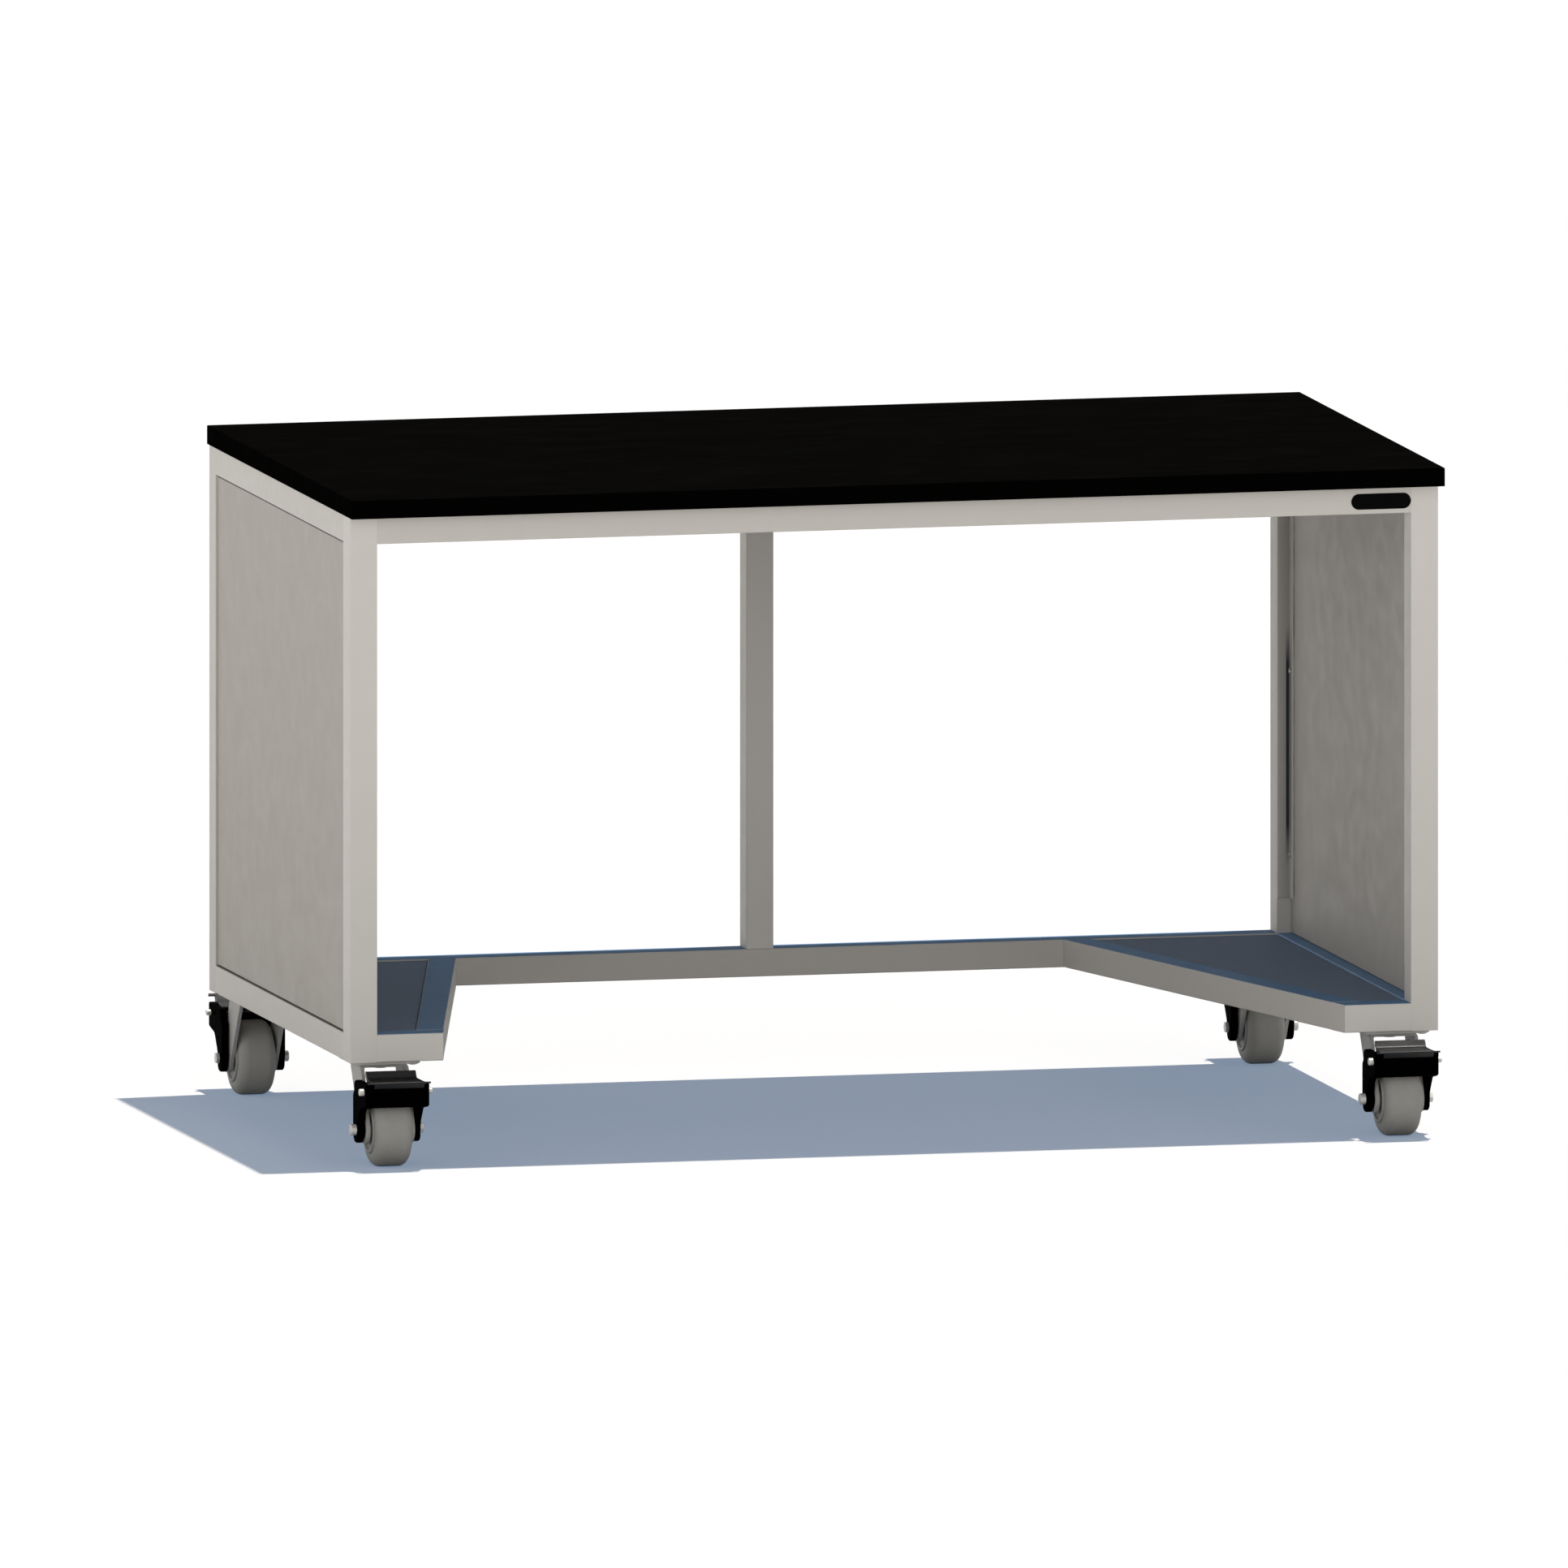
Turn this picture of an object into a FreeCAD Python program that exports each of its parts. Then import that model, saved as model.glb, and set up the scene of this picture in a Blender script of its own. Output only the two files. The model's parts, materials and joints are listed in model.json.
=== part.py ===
"""Mobile laboratory bench: slab worktop on a welded square-tube frame with four braked swivel casters.

Frame of the model: +Z up, X along the bench, the open front faces -Y.
The origin lies on the floor under the middle of the frame.  Millimetres throughout.
"""
import FreeCAD, Part
import math
import os
import Sketcher
from FreeCAD import Placement, Rotation, Vector

# ---------------------------------------------------------------- driving dimensions
SIZES = [
    # worktop
    ("worktop_length", 1524.0),
    ("worktop_depth", 838.2),
    ("worktop_thickness", 25.4),
    ("worktop_edge", 1.0),
    ("side_overhang", 3.175),
    ("front_overhang", 25.4),
    ("rear_overhang", 0.0),
    # frame
    ("frame_height", 746.1),
    ("tube_width", 38.1),
    ("tube_wall", 2.0),
    ("tube_corner", 2.0),
    ("foot_length", 130.2),
    ("knee_offset", 335.6),
    # decks between the lower rails
    ("deck_sheet", 1.5),
    ("deck_flange", 18.0),
    ("deck_recess", 2.0),
    ("deck_gap", 0.3),
    ("deck_reveal", 0.8),
    # side panels and the angles that hold them
    ("panel_thickness", 15.9),
    ("panel_recess", 3.0),
    ("panel_gap", 1.2),
    ("panel_edge", 0.6),
    ("angle_leg", 19.0),
    ("angle_thickness", 3.2),
    ("angle_rise", 86.0),
    # badge plate on the front rail
    ("badge_length", 83.0),
    ("badge_height", 21.5),
    ("badge_thickness", 1.2),
    ("badge_inset", 80.0),
    ("badge_drop", 21.0),
    # screws that hold the worktop
    ("top_screw_diameter", 6.0),
    ("top_screw_head", 11.0),
    ("top_screw_head_thickness", 3.5),
    ("top_screw_bite", 18.0),
    ("top_screw_inset", 150.0),
    ("top_screw_count", 4),
    ("access_hole", 14.0),
    # screws that hold the side panels
    ("panel_screw_diameter", 4.0),
    ("panel_screw_head", 8.0),
    ("panel_screw_head_thickness", 2.4),
    ("panel_screw_bite", 11.0),
    ("panel_screw_margin", 60.0),
    ("panel_screw_count", 3),
    # caster position and fastening
    ("caster_inset_x", 55.3),
    ("caster_inset_y", 58.0),
    ("plate_width", 95.3),
    ("plate_length", 101.6),
    ("plate_thickness", 4.0),
    ("plate_corner", 16.0),
    ("bolt_spacing_x", 74.0),
    ("bolt_spacing_y", 79.0),
    ("bolt_diameter", 8.0),
    ("bolt_head", 13.0),
    ("bolt_head_thickness", 2.0),
    ("bolt_head_round", 1.6),
    ("slot_travel", 4.0),
    ("insert_diameter", 11.0),
    ("insert_height", 12.0),
    ("pad_thickness", 5.0),
    ("pad_margin", 18.0),
    # caster
    ("wheel_diameter", 101.6),
    ("fork_height", 92.1),
    ("trail", 47.2),
    ("race_gap", 1.3),
    ("race_outer", 50.0),
    ("race_inner", 38.0),
    ("kingpin_diameter", 12.0),
    ("kingpin_head", 22.0),
    ("kingpin_head_thickness", 3.5),
    ("fork_sheet", 5.0),
    ("fork_depth", 60.0),
    ("fork_eye", 20.0),
    ("fork_flat", 0.4),
    ("fork_bend", 7.0),
    ("running_gap", 0.05),
    ("side_play", 0.5),
    # wheel
    ("tyre_clearance", 3.0),
    ("tyre_shoulder", 13.0),
    ("tyre_bore", 66.0),
    ("hub_rim", 5.0),
    ("ring_clearance", 0.4),
    ("hub_ring_inner_round", 1.6),
    ("hub_ring_outer_round", 2.3),
    ("hub_groove", 1.5),
    ("web_recess", 3.5),
    ("hub_boss", 24.0),
    # axle bolt and nut
    ("axle_diameter", 8.0),
    ("axle_head", 15.2),
    ("axle_head_length", 8.0),
    ("axle_head_round", 1.5),
    ("nut_flats", 13.0),
    ("nut_thickness", 4.6),
    # brake housing, measured from the axle
    ("housing_width", 88.8),
    ("housing_arm", 8.8),
    ("arm_clearance", 2.2),
    ("housing_bend", 9.0),
    ("housing_edge", 2.5),
    ("housing_boss", 25.0),
    ("arm_fore", 8.5),
    ("arm_back", 18.0),
    ("arm_heel", 14.0),
    ("arm_drop", 18.4),
    ("arm_end_round", 10.8),
    ("arm_knee", 6.0),
    ("knee_round", 24.0),
    ("arm_elbow_fore", 27.0),
    ("arm_elbow_rise", 30.5),
    ("elbow_round", 12.0),
    ("arm_back_round", 20.0),
    ("arm_jog_rise", 47.0),
    ("arm_jog_depth", 6.5),
    ("arm_jog_round", 4.0),
    ("housing_fore", 65.0),
    ("housing_top", 67.5),
    ("crest_fore", 20.0),
    ("crest_round", 30.0),
    ("crest_back_round", 8.0),
    ("shoulder_rise", 69.4),
    ("shoulder_round", 4.0),
    ("apron_bottom", 37.5),
    ("apron_round", 14.0),
    ("apron_lip", 14.0),
    ("apron_lip_top", 47.0),
    ("apron_wall", 3.0),
    ("apron_top", 60.5),
    # pedal pin, measured from the axle
    ("pin_ahead", 46.5),
    ("pin_rise", 56.7),
    ("pin_diameter", 8.0),
    ("pin_head", 10.0),
    ("pin_head_length", 6.5),
    ("pin_head_round", 1.25),
    ("pin_tip_round", 1.0),
    # brake pedal, measured from its pin
    ("pedal_clearance", 1.0),
    ("lip_inset", 0.4),
    ("lip_corner", 7.0),
    ("lip_reach", 28.6),
    ("lip_rise", 16.0),
    ("lip_round", 1.2),
    ("lip_taper", 9.5),
    ("chin_round", 2.0),
    ("wing_depth", 7.4),
    ("wing_thickness", 3.0),
    ("tread_rise", 12.5),
    ("tread_fore", 5.0),
    ("tread_round", 60.0),
    ("tread_back", 21.0),
    ("tread_back_rise", 15.5),
    ("tread_back_round", 6.0),
    ("tread_under_back", 5.5),
    ("heel_back", 32.7),
    ("heel_rise", 24.0),
    ("heel_thickness", 4.7),
    ("heel_drop", 6.0),
    ("heel_web", 5.0),
    ("heel_web_run", 2.0),
    ("heel_web_round", 4.0),
    ("pedal_sheet", 6.5),
    ("pedal_boss", 15.0),
    ("cam_width", 44.0),
    ("cam_foot", 6.0),
    ("cam_nose", 3.7),
    ("cam_nose_drop", 0.4),
    ("cam_back", 6.5),
    ("cam_back_run", 3.3),
    ("brake_gap", 0.4),
    ("pedal_lift", 20.0),
]

doc = FreeCAD.newDocument("mobile_lab_bench")
sheet = doc.addObject("Spreadsheet::Sheet", "Sizes")
for row, (alias, number) in enumerate(SIZES, start=1):
    sheet.set(f"A{row}", alias)
    sheet.set(f"B{row}", str(number))
    sheet.setAlias(f"B{row}", alias)
doc.recompute()


class Length:
    """A size or a place: its value, and the expression on the sheet that gives it."""

    def __init__(self, value, text):
        self.value = float(value)
        self.text = text

    def __add__(self, other):
        other = as_length(other)
        return Length(self.value + other.value, f"({self.text} + {other.text})")

    def __sub__(self, other):
        other = as_length(other)
        return Length(self.value - other.value, f"({self.text} - {other.text})")

    def __mul__(self, other):
        other = as_length(other)
        return Length(self.value * other.value, f"({self.text} * {other.text})")

    def __truediv__(self, other):
        other = as_length(other)
        return Length(self.value / other.value, f"({self.text} / {other.text})")

    def __radd__(self, other):
        return as_length(other) + self

    def __rsub__(self, other):
        return as_length(other) - self

    def __rmul__(self, other):
        return as_length(other) * self

    def __neg__(self):
        return Length(-self.value, f"(-1 * {self.text})")


def as_length(number):
    """A plain factor or count as a Length."""
    if isinstance(number, Length):
        return number
    return Length(number, repr(float(number)))


def size(alias):
    """The driving dimension of this name."""
    return Length(sheet.get(alias), f"Sizes.{alias}")


def root(square):
    """The square root of a Length."""
    return Length(math.sqrt(square.value), f"sqrt({square.text})")


ZERO = as_length(0)
HALF_TURN = as_length(180)
COS_30 = root(as_length(3)) / 2
PAST = as_length(1)  # how far a cut runs past what it cuts
LEFT, RIGHT = -1, 1
FRONT, REAR = -1, 1


# ---------------------------------------------------------------- drawing helpers
def new_body(label, x=ZERO, y=ZERO, z=ZERO, turn=ZERO, tilt=ZERO, several=False):
    """An empty body: its origin at x, y, z, turned about Z and tilted about X, in degrees."""
    body = doc.addObject("PartDesign::Body", label)
    body.Label = label
    body.AllowCompound = several
    base = f"vector({x.text}, {y.text}, {z.text})"
    body.setExpression("Placement", f"placement({base}, rotation({turn.text}, 0, {tilt.text}))")
    return body


def origin_feature(body, role):
    """The origin plane or axis of a body with this role."""
    for feature in body.Origin.OriginFeatures:
        if feature.Role == role:
            return feature
    raise ValueError(role)


def new_sketch(body, role, offset=ZERO):
    """A sketch on an origin plane of the body, moved along that plane's normal."""
    sketch = body.newObject("Sketcher::SketchObject", f"{body.Label}_outline")
    sketch.AttachmentSupport = [(origin_feature(body, role), "")]
    sketch.MapMode = "FlatFace"
    sketch.AttachmentOffset = Placement(Vector(0, 0, offset.value), Rotation())
    sketch.setExpression("AttachmentOffset.Base.z", offset.text)
    return sketch


def front_sketch(body, depth):
    """An upright sketch that faces the front, at this depth."""
    return new_sketch(body, "XZ_Plane", -depth)


def bind(sketch, constraint, length):
    """Add a dimension to a sketch and tie it to its expression."""
    index = sketch.addConstraint(constraint)
    name = f"size_{index}"
    sketch.renameConstraint(index, name)
    sketch.setExpression(f"Constraints.{name}", length.text)


def pin_point(sketch, geometry, position, x, y):
    """Fix a point of the sketch at x, y."""
    bind(sketch, Sketcher.Constraint("DistanceX", -1, 1, geometry, position, x.value), x)
    bind(sketch, Sketcher.Constraint("DistanceY", -1, 1, geometry, position, y.value), y)


def corner_arc(before, corner, after, radius):
    """Tangent points, centre and turning sense of the arc that rounds a corner."""
    incoming = (corner - before).normalize()
    outgoing = (after - corner).normalize()
    turn = math.atan2(incoming.cross(outgoing).z, incoming.dot(outgoing))
    cut = radius * math.tan(abs(turn) / 2)
    start = corner - incoming * cut
    end = corner + outgoing * cut
    inward = Vector(-incoming.y, incoming.x, 0) * math.copysign(radius, turn)
    return start, end, start + inward, turn > 0


def draw_outline(sketch, corners):
    """A closed outline through corners (x, y) or rounded corners (x, y, radius)."""
    count = len(corners)
    points = [Vector(corner[0].value, corner[1].value, 0) for corner in corners]
    rounds = {}
    for index, corner in enumerate(corners):
        if len(corner) == 3:
            before, after = points[index - 1], points[(index + 1) % count]
            rounds[index] = corner_arc(before, points[index], after, corner[2].value)
    lines = []
    for index in range(count):
        following = (index + 1) % count
        start = rounds[index][1] if index in rounds else points[index]
        end = rounds[following][0] if following in rounds else points[following]
        lines.append(sketch.addGeometry(Part.LineSegment(start, end), False))
    for index, corner in enumerate(corners):
        line_in, line_out = lines[index - 1], lines[index]
        if index not in rounds:
            sketch.addConstraint(Sketcher.Constraint("Coincident", line_in, 2, line_out, 1))
            pin_point(sketch, line_out, 1, corner[0], corner[1])
            continue
        start, end, centre, left = rounds[index]
        circle = Part.Circle(centre, Vector(0, 0, 1), corner[2].value)
        angles = [math.atan2(p.y - centre.y, p.x - centre.x) for p in (start, end)]
        if not left:
            angles.reverse()
        arc = sketch.addGeometry(Part.ArcOfCircle(circle, angles[0], angles[1]), False)
        first, last = (1, 2) if left else (2, 1)
        sketch.addConstraint(Sketcher.Constraint("Tangent", line_in, 2, arc, first))
        sketch.addConstraint(Sketcher.Constraint("Tangent", arc, last, line_out, 1))
        bind(sketch, Sketcher.Constraint("Radius", arc, corner[2].value), corner[2])
        mark = sketch.addGeometry(Part.Point(points[index]), True)
        pin_point(sketch, mark, 1, corner[0], corner[1])
        sketch.addConstraint(Sketcher.Constraint("PointOnObject", mark, 1, line_in))
        sketch.addConstraint(Sketcher.Constraint("PointOnObject", mark, 1, line_out))


def draw_circle(sketch, x, y, radius):
    """A circle of this radius about x, y."""
    circle = Part.Circle(Vector(x.value, y.value, 0), Vector(0, 0, 1), radius.value)
    geometry = sketch.addGeometry(circle, False)
    bind(sketch, Sketcher.Constraint("Radius", geometry, radius.value), radius)
    pin_point(sketch, geometry, 3, x, y)


def draw_slot(sketch, x, y, half_run, radius):
    """A round-ended slot along the sketch's first axis, its end centres half_run from x, y."""
    up = Vector(0, 0, 1)
    left = Vector(x.value - half_run.value, y.value, 0)
    right = Vector(x.value + half_run.value, y.value, 0)
    rise = Vector(0, radius.value, 0)
    quarter = math.pi / 2
    right_end = Part.ArcOfCircle(Part.Circle(right, up, radius.value), -quarter, quarter)
    left_end = Part.ArcOfCircle(Part.Circle(left, up, radius.value), quarter, 3 * quarter)
    lower = sketch.addGeometry(Part.LineSegment(left - rise, right - rise), False)
    east = sketch.addGeometry(right_end, False)
    upper = sketch.addGeometry(Part.LineSegment(right + rise, left + rise), False)
    west = sketch.addGeometry(left_end, False)
    for first, second in ((lower, east), (east, upper), (upper, west), (west, lower)):
        sketch.addConstraint(Sketcher.Constraint("Tangent", first, 2, second, 1))
    pin_point(sketch, east, 3, x + half_run, y)
    pin_point(sketch, west, 3, x - half_run, y)
    bind(sketch, Sketcher.Constraint("Radius", east, radius.value), radius)


def rectangle(x0, x1, y0, y1):
    """The four corners of a rectangle between two values of each axis."""
    return [(x0, y0), (x1, y0), (x1, y1), (x0, y1)]


def extrude(body, kind, sketch, length, reverse=False, symmetric=False):
    """A Pad or a Pocket of a sketch over a length."""
    feature = body.newObject(f"PartDesign::{kind}", f"{body.Label}_{kind.lower()}")
    feature.Profile = sketch
    feature.Reversed = reverse
    if symmetric:
        feature.SideType = "Symmetric"
    feature.Length = length.value
    feature.setExpression("Length", length.text)
    body.Tip = feature
    return feature


def pad(body, sketch, length, **options):
    """Add material over a length."""
    return extrude(body, "Pad", sketch, length, **options)


def pocket(body, sketch, length, **options):
    """Cut material over a length, and make sure that something was cut."""
    doc.recompute()
    before = body.Shape.Volume
    feature = extrude(body, "Pocket", sketch, length, **options)
    doc.recompute()
    if not body.Shape.Volume < before:
        raise ValueError(f"{feature.Label} cuts nothing")
    return feature


def revolve(body, sketch, axis):
    """A full turn of a sketch about an axis of its own: H_Axis, V_Axis or a line."""
    feature = body.newObject("PartDesign::Revolution", f"{body.Label}_revolution")
    feature.Profile = sketch
    feature.ReferenceAxis = (sketch, [axis])
    feature.Angle = 360.0
    body.Tip = feature
    return feature


def revolve_about(body, sketch, start, end):
    """A full turn of a sketch about the line between two of its points."""
    line = Part.LineSegment(
        Vector(start[0].value, start[1].value, 0), Vector(end[0].value, end[1].value, 0)
    )
    axis = sketch.addGeometry(line, True)
    pin_point(sketch, axis, 1, *start)
    pin_point(sketch, axis, 2, *end)
    revolve(body, sketch, "Axis0")


def dress(body, kind, amount, wanted):
    """A Fillet or a Chamfer on the edges of the body that the test wants."""
    doc.recompute()
    base = body.Tip
    names = []
    for index, edge in enumerate(base.Shape.Edges, start=1):
        if wanted(edge):
            names.append(f"Edge{index}")
    feature = body.newObject(f"PartDesign::{kind}", f"{body.Label}_{kind.lower()}")
    feature.Base = (base, names)
    setting = "Radius" if kind == "Fillet" else "Size"
    setattr(feature, setting, amount.value)
    feature.setExpression(setting, amount.text)
    body.Tip = feature


def repeat(body, role, spacing, count):
    """Copies of the whole body in a row along an axis."""
    feature = body.newObject("PartDesign::LinearPattern", f"{body.Label}_row")
    feature.TransformMode = "Whole shape"
    feature.Direction = (origin_feature(body, role), [""])
    feature.Mode = "Spacing"
    feature.Offset = spacing.value
    feature.setExpression("Offset", spacing.text)
    feature.Occurrences = int(count.value)
    feature.setExpression("Occurrences", count.text)
    body.Tip = feature


def mirror(body, role):
    """The whole body and its mirror image in an origin plane."""
    feature = body.newObject("PartDesign::Mirrored", f"{body.Label}_mirror")
    feature.TransformMode = "Whole shape"
    feature.MirrorPlane = (origin_feature(body, role), [""])
    body.Tip = feature


def runs_along(edge, axis):
    """Whether an edge is straight and parallel to a unit vector."""
    if edge.Curve.TypeId != "Part::GeomLine":
        return False
    return abs(abs(edge.Curve.Direction.dot(axis)) - 1) < 1e-6


def lies_at(edge, axis, place):
    """Whether the middle of an edge has this coordinate along an axis."""
    middle = edge.valueAt((edge.FirstParameter + edge.LastParameter) / 2)
    return abs(middle.dot(axis) - place.value) < 1e-4


X_AXIS, Y_AXIS, Z_AXIS = Vector(1, 0, 0), Vector(0, 1, 0), Vector(0, 0, 1)

# ---------------------------------------------------------------- main places
tube = size("tube_width")
wall = size("tube_wall")
frame_length = size("worktop_length") - 2 * size("side_overhang")
frame_depth = size("worktop_depth") - size("front_overhang") - size("rear_overhang")
half_length = frame_length / 2
half_depth = frame_depth / 2
axle_height = size("wheel_diameter") / 2
bottom = axle_height + size("fork_height")
top = bottom + size("frame_height")
rail_under = top - tube

# The knee side of a diagonal rail, as a line in plan.  It starts at the inner end of the
# foot rail and meets the rear rail; depths here are measured from the frame's front face.
knee_slope = (size("knee_offset") - size("foot_length")) / (frame_depth - tube)
slant = root(1 + knee_slope * knee_slope)


def knee_line(depth, inset):
    """Distance from the frame's end to the knee line, moved outwards square to the line."""
    return size("foot_length") + knee_slope * depth - inset * slant


def in_plan(side, points):
    """Points (distance from the frame's end, depth from its front) as places on one side."""
    return [(side * (half_length - along), depth - half_depth) for along, depth in points]


def side_name(side):
    return "left" if side == LEFT else "right"


def end_name(end):
    return "front" if end == FRONT else "rear"


# ---------------------------------------------------------------- frame
def add_tube(label, plan, base, height, hollow, hollow_base, hollow_height):
    """A tube from its outline in plan, hollowed over a part of its height."""
    body = new_body(label)
    outside = new_sketch(body, "XY_Plane", base)
    draw_outline(outside, plan)
    pad(body, outside, height)
    inside = new_sketch(body, "XY_Plane", hollow_base)
    draw_outline(inside, hollow)
    pocket(body, inside, hollow_height, reverse=True)
    return body


def add_level_tube(label, plan, hollow, base):
    """A rail that lies level, one tube high."""
    return add_tube(label, plan, base, tube, hollow, base + wall, tube - 2 * wall)


def round_long_edges(body, axis):
    """The rounded outer corners of a tube, along its whole length."""
    outline = body.Shape.BoundBox

    def is_outer(edge):
        if not runs_along(edge, axis):
            return False
        middle = edge.valueAt((edge.FirstParameter + edge.LastParameter) / 2)
        flush = 0
        for low, high, place in (
            (outline.XMin, outline.XMax, middle.x),
            (outline.YMin, outline.YMax, middle.y),
            (outline.ZMin, outline.ZMax, middle.z),
        ):
            if min(abs(place - low), abs(place - high)) < 1e-4:
                flush += 1
        return flush == 2

    dress(body, "Fillet", size("tube_corner"), is_outer)


def drill_down_side(body, holes, diameter, start, depth):
    """Upright round holes from a height upwards over a depth."""
    drill = new_sketch(body, "XY_Plane", start)
    for x, y in holes:
        draw_circle(drill, x, y, diameter / 2)
    pocket(body, drill, depth, reverse=True)


bolt_near_x = size("caster_inset_x") - size("bolt_spacing_x") / 2
bolt_far_x = size("caster_inset_x") + size("bolt_spacing_x") / 2
bolt_near_y = size("caster_inset_y") - size("bolt_spacing_y") / 2
bolt_far_y = size("caster_inset_y") + size("bolt_spacing_y") / 2
insert_hole = size("insert_diameter") + 2 * size("running_gap")


def add_post(side, end):
    """A corner post: its foot is closed by a welded cap that takes one caster bolt."""
    x0, x1 = side * (half_length - tube), side * half_length
    y0, y1 = end * (half_depth - tube), end * half_depth
    plan = rectangle(x0, x1, y0, y1)
    hollow = rectangle(x0 + side * wall, x1 - side * wall, y0 + end * wall, y1 - end * wall)
    label = f"{end_name(end)}_{side_name(side)}_post"
    cap = size("pad_thickness")
    height = size("frame_height")
    body = add_tube(label, plan, bottom, height, hollow, bottom + cap, height - cap)
    bolt = (side * (half_length - bolt_near_x), end * (half_depth - bolt_near_y))
    drill_down_side(body, [bolt], insert_hole, bottom, cap)

    def is_outer_corner(edge):
        return runs_along(edge, Z_AXIS) and lies_at(edge, X_AXIS, x1) and lies_at(edge, Y_AXIS, y1)

    dress(body, "Fillet", size("tube_corner"), is_outer_corner)


def add_centre_post():
    """The rear post at mid length, between the lower and the upper rear rail."""
    plan = rectangle(-tube / 2, tube / 2, half_depth - tube, half_depth)
    hollow = rectangle(wall - tube / 2, tube / 2 - wall, half_depth - tube + wall, half_depth - wall)
    base = bottom + tube
    height = rail_under - base
    body = add_tube("centre_rear_post", plan, base, height, hollow, base, height)
    round_long_edges(body, Z_AXIS)


def top_screw_places():
    """Where the worktop screws go: a row in the front rail, and its mirror image at the rear."""
    run = frame_length - 2 * size("top_screw_inset")
    count = int(size("top_screw_count").value)
    pitch = run / (size("top_screw_count") - 1)
    return [(size("top_screw_inset") - half_length + pitch * step) for step in range(count)], pitch


def add_long_rail(label, end, base, screwed):
    """A rail along X between two corner posts."""
    reach = half_length - tube
    y0, y1 = end * (half_depth - tube), end * half_depth
    plan = rectangle(-reach, reach, y0, y1)
    hollow = rectangle(-reach, reach, y0 + end * wall, y1 - end * wall)
    body = add_level_tube(label, plan, hollow, base)
    if screwed:
        places, _ = top_screw_places()
        middle = (y0 + y1) / 2
        clear = size("top_screw_diameter") + 2 * size("running_gap")
        holes = [(x, middle) for x in places]
        drill_down_side(body, holes, size("access_hole"), base, wall)
        drill_down_side(body, holes, clear, base + tube - wall, wall)
    else:
        depth = end * (half_depth - bolt_near_y)
        holes = [(side * (half_length - bolt_far_x), depth) for side in (LEFT, RIGHT)]
        drill_down_side(body, holes, insert_hole, base, wall)
    round_long_edges(body, X_AXIS)


def add_short_rail(label, side, base, on_casters):
    """A rail along Y between the front and the rear post of one side."""
    reach = half_depth - tube
    x0, x1 = side * (half_length - tube), side * half_length
    plan = rectangle(x0, x1, -reach, reach)
    hollow = rectangle(x0 + side * wall, x1 - side * wall, -reach, reach)
    body = add_level_tube(label, plan, hollow, base)
    if on_casters:
        x = side * (half_length - bolt_near_x)
        holes = [(x, end * (half_depth - bolt_far_y)) for end in (FRONT, REAR)]
        drill_down_side(body, holes, insert_hole, base, wall)
    round_long_edges(body, Y_AXIS)


def add_foot_rail(side):
    """The short front rail of one side; its inner end is cut on the knee line and closed."""

    def mitred(near, far, inset):
        """The plan between two depths, its cut end moved outwards by an inset."""
        start, end = (knee_line(near, inset), near), (knee_line(far, inset), far)
        return in_plan(side, [(tube, near), start, end, (tube, far)])

    label = f"{side_name(side)}_foot_rail"
    body = add_level_tube(label, mitred(ZERO, tube, ZERO), mitred(wall, tube - wall, wall), bottom)
    hole = (side * (half_length - bolt_far_x), bolt_near_y - half_depth)
    drill_down_side(body, [hole], insert_hole, bottom, wall)
    dress(
        body,
        "Fillet",
        size("tube_corner"),
        lambda edge: runs_along(edge, X_AXIS)
        and (lies_at(edge, Y_AXIS, -half_depth) or lies_at(edge, Y_AXIS, tube - half_depth))
        and (lies_at(edge, Z_AXIS, bottom) or lies_at(edge, Z_AXIS, bottom + tube)),
    )


def add_diagonal_rail(side):
    """The slanting rail from a foot rail to the rear rail, its ends cut to meet both."""
    start, end = tube, frame_depth - tube

    def strip(outer, inner):
        return in_plan(
            side,
            [
                (knee_line(start, outer), start),
                (knee_line(end, outer), end),
                (knee_line(end, inner), end),
                (knee_line(start, inner), start),
            ],
        )

    label = f"{side_name(side)}_diagonal_rail"
    body = add_level_tube(label, strip(ZERO, tube), strip(wall, tube - wall), bottom)
    along = Vector(-side * knee_slope.value, 1, 0).normalize()
    dress(
        body,
        "Fillet",
        size("tube_corner"),
        lambda edge: runs_along(edge, along)
        and (lies_at(edge, Z_AXIS, bottom) or lies_at(edge, Z_AXIS, bottom + tube)),
    )


def add_deck(side):
    """A sheet tray with turned-down flanges between the lower rails of one side."""
    gap, reveal, sheet_metal = size("deck_gap"), size("deck_reveal"), size("deck_sheet")

    def ring(inset):
        near = tube + gap + inset
        far = frame_depth - tube - gap - inset
        knee = tube + reveal + inset
        start, end = (knee_line(near, knee), near), (knee_line(far, knee), far)
        return in_plan(side, [(near, near), start, end, (near, far)])

    deck_top = bottom + tube - size("deck_recess")
    base = deck_top - size("deck_flange")
    body = new_body(f"{side_name(side)}_deck")
    outside = new_sketch(body, "XY_Plane", base)
    draw_outline(outside, ring(ZERO))
    pad(body, outside, size("deck_flange"))
    inside = new_sketch(body, "XY_Plane", base)
    draw_outline(inside, ring(sheet_metal))
    pocket(body, inside, size("deck_flange") - sheet_metal, reverse=True)


# ---------------------------------------------------------------- side panels and their angles
panel_inner = size("panel_recess") + size("panel_thickness")
angle_low = bottom + size("angle_rise")
angle_length = rail_under - angle_low
screw_run = angle_length - 2 * size("panel_screw_margin")
screw_pitch_z = screw_run / (size("panel_screw_count") - 1)
screw_depth = half_depth - tube - (size("angle_leg") + size("angle_thickness")) / 2


def panel_screw_rows():
    """The heights of the panel screws."""
    first = angle_low + size("panel_screw_margin")
    return [first + screw_pitch_z * step for step in range(int(size("panel_screw_count").value))]


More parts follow.
